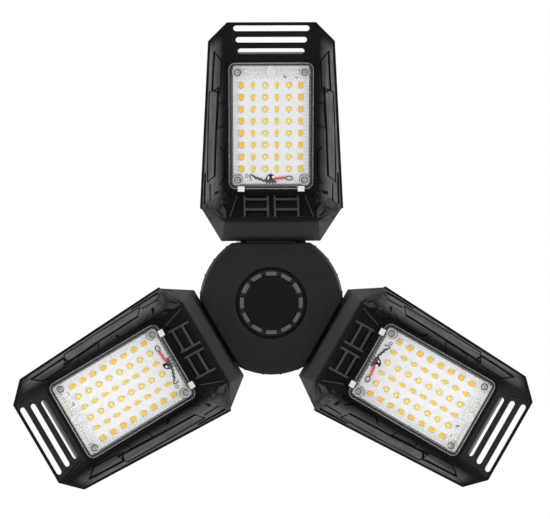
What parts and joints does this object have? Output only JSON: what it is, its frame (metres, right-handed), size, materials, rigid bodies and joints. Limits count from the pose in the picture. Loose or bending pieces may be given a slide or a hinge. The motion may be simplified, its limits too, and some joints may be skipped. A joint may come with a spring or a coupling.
{
  "type": "folding panel ceiling light",
  "caption": "Ceiling light with a screw base: hinged, hooded light panels round a round hub fold up, down and flat.",
  "frame": {"origin": "on the lamp axis at the shoulder where the screw base meets the neck", "axes": "+Z along the screw base, away from the lamp; -Z is the lit side; the panel called a points along +Y"},
  "size_m": [0.312, 0.2813, 0.1814],
  "materials": {
    "base_metal": "rolled, satin",
    "insulator": "gloss",
    "contact_metal": "satin",
    "housing_plastic": "fine texture",
    "circuit_board": "solder mask",
    "transformer": "ferrite",
    "capacitor": "sleeve",
    "terminal": "plain",
    "mains_wire": "sleeve",
    "screw_steel": "satin",
    "cover_plastic": "fine texture, satin",
    "cap_ring_plastic": "satin",
    "cap_gloss": "gloss",
    "washer": "fibre",
    "bush_brass": "satin",
    "cable_black": "matt",
    "hood_plastic": "satin",
    "heat_sink_metal": "die cast, black coat",
    "board_white": "white solder mask",
    "led_phosphor": "phosphor",
    "lens_clear": "prismatic",
    "seal_rubber": "silicone",
    "clip_white": "plain",
    "connector_black": "plain"
  },
  "bodies": {
    "root": {"base_shell": "base_metal", "base_insulator": "insulator", "base_contact": "contact_metal", "driver_housing": "housing_plastic", "driver_board": "circuit_board", "transformer": "transformer", "capacitors": "capacitor", "output_terminal": "terminal", "mains_leads": "mains_wire", "neck_screws": "screw_steel", "hub_housing": "housing_plastic", "cover_screws": "screw_steel", "front_cover": "cover_plastic", "cap_ring": "cap_ring_plastic", "cap_disc": "cap_gloss", "hinge_screws": "screw_steel", "hinge_nuts": "screw_steel", "hinge_washers": "washer", "hinge_bushes": "bush_brass", "hub_leads": "cable_black"},
    "panel_a": {"hood_a": "hood_plastic", "heat_sink_a": "heat_sink_metal", "led_board_a": "board_white", "leds_a": "led_phosphor", "lens_a": "lens_clear", "lens_seal_a": "seal_rubber", "lens_screws_a": "screw_steel", "lens_clips_a": "clip_white", "hood_screws_a": "screw_steel", "board_connector_a": "connector_black", "panel_lead_a": "cable_black"},
    "panel_b": {"hood_b": "hood_plastic", "heat_sink_b": "heat_sink_metal", "led_board_b": "board_white", "leds_b": "led_phosphor", "lens_b": "lens_clear", "lens_seal_b": "seal_rubber", "lens_screws_b": "screw_steel", "lens_clips_b": "clip_white", "hood_screws_b": "screw_steel", "board_connector_b": "connector_black", "panel_lead_b": "cable_black"},
    "panel_c": {"hood_c": "hood_plastic", "heat_sink_c": "heat_sink_metal", "led_board_c": "board_white", "leds_c": "led_phosphor", "lens_c": "lens_clear", "lens_seal_c": "seal_rubber", "lens_screws_c": "screw_steel", "lens_clips_c": "clip_white", "hood_screws_c": "screw_steel", "board_connector_c": "connector_black", "panel_lead_c": "cable_black"}
  },
  "joints": [
    {"name": "panel_a_hinge", "type": "hinge", "parent": "root", "child": "panel_a", "pos_m": [0, 0.035, -0.084], "axis": [1, 0, 0], "range_deg": [-13, 102]},
    {"name": "panel_b_hinge", "type": "hinge", "parent": "root", "child": "panel_b", "pos_m": [-0.03031, -0.0175, -0.084], "axis": [-0.5, 0.866, 0], "range_deg": [-7, 108]},
    {"name": "panel_c_hinge", "type": "hinge", "parent": "root", "child": "panel_c", "pos_m": [0.03031, -0.0175, -0.084], "axis": [-0.5, -0.866, 0], "range_deg": [-7, 108]}
  ]
}
